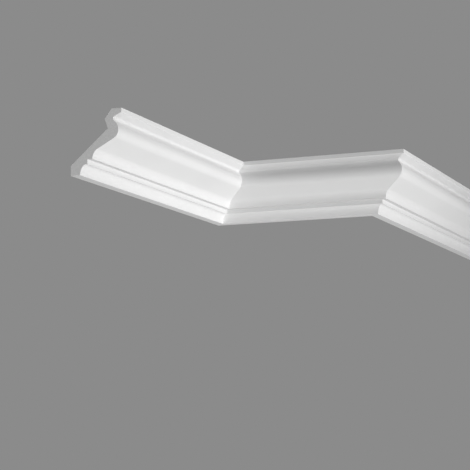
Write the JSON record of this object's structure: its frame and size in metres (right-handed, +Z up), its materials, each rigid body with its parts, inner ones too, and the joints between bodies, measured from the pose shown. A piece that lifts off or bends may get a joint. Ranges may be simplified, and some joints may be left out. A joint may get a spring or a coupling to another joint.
{
  "type": "ceiling cornice moulding",
  "caption": "White ceiling cornice in mitred lengths, turning an inside and an outside corner; fillet, hollow, round nose, ogee flank, ledge and cove cover the joint of wall and ceiling.",
  "frame": {"origin": "centre of the middle length's ceiling face", "axes": "+Z up into the ceiling; the middle length faces -Y and runs along X; the left and right lengths face +X and run along Y, the long way of the part"},
  "size_m": [0.3875, 1.284, 0.1],
  "materials": {
    "primed_polymer": "hard polystyrene foam with a factory coat of matt white primer, raw fine-celled foam at the cut ends"
  },
  "bodies": {
    "root": {"left_length": "primed_polymer", "middle_length": "primed_polymer", "right_length": "primed_polymer"}
  },
  "joints": []
}
